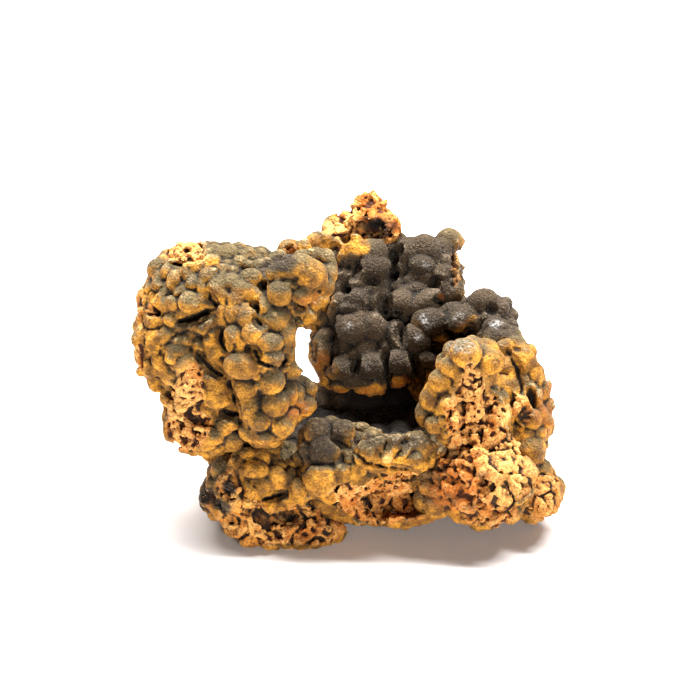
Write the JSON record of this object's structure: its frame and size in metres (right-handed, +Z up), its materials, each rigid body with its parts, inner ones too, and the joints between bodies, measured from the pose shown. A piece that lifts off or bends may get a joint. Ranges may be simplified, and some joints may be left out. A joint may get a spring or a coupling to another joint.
{
  "type": "mottramite mineral specimen",
  "caption": "Free-standing cabinet specimen of mottramite: olive to near-black grape-like lumps round an open bowl, grown over a porous ochre matrix.",
  "frame": {"origin": "on the surface the stone rests on, under the middle of its bounding box", "axes": "+X along the stone's length to the right as seen from the front, +Y from the low front ledge to the back wall, +Z up"},
  "size_m": [0.0853, 0.0572, 0.0586],
  "materials": {
    "mottramite_on_matrix": "dull velvety olive to near-black lumps over rough yellow-ochre porous matrix"
  },
  "bodies": {
    "root": {"mottramite_specimen": "mottramite_on_matrix"}
  },
  "joints": []
}
